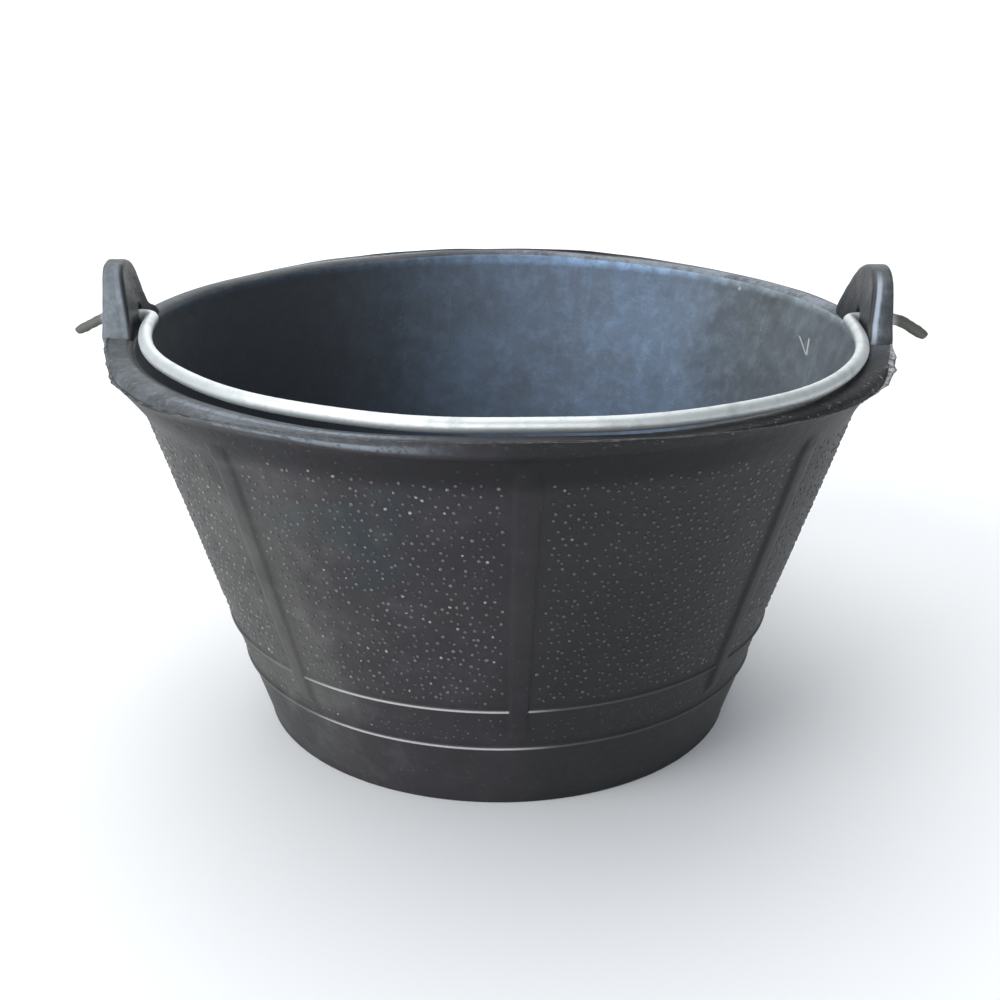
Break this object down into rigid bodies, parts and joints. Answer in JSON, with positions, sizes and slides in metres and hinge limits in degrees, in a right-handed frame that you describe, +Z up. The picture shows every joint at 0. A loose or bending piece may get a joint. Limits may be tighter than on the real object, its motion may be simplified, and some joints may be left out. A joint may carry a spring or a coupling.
{
  "type": "feed bucket",
  "caption": "Conical rubber feed bucket with a thick flanged rim, low vertical ribs, upright ears and a swinging steel wire bail.",
  "frame": {"origin": "centre of the flat underside, on the floor", "axes": "+Z up along the bucket's axis; the ears stand at +X and -X; the bail lies forward on the rim towards -Y"},
  "size_m": [0.4341, 0.39, 0.234],
  "materials": {
    "tub": "black moulded recycled rubber, satin, with low pips between the ribs and a dusty bloom on the rim",
    "ears": "black moulded recycled rubber, satin",
    "bail": "galvanised steel wire, dull silver with grey streaks"
  },
  "bodies": {
    "bucket": {"tub": "tub", "ear_left": "ears", "ear_right": "ears"},
    "bail": {"bail": "bail"}
  },
  "joints": [
    {"name": "bail_swing", "type": "hinge", "parent": "bucket", "child": "bail", "pos_m": [0, 0, 0.2069], "axis": [-1, 0, 0], "range_deg": [0, 180]}
  ]
}
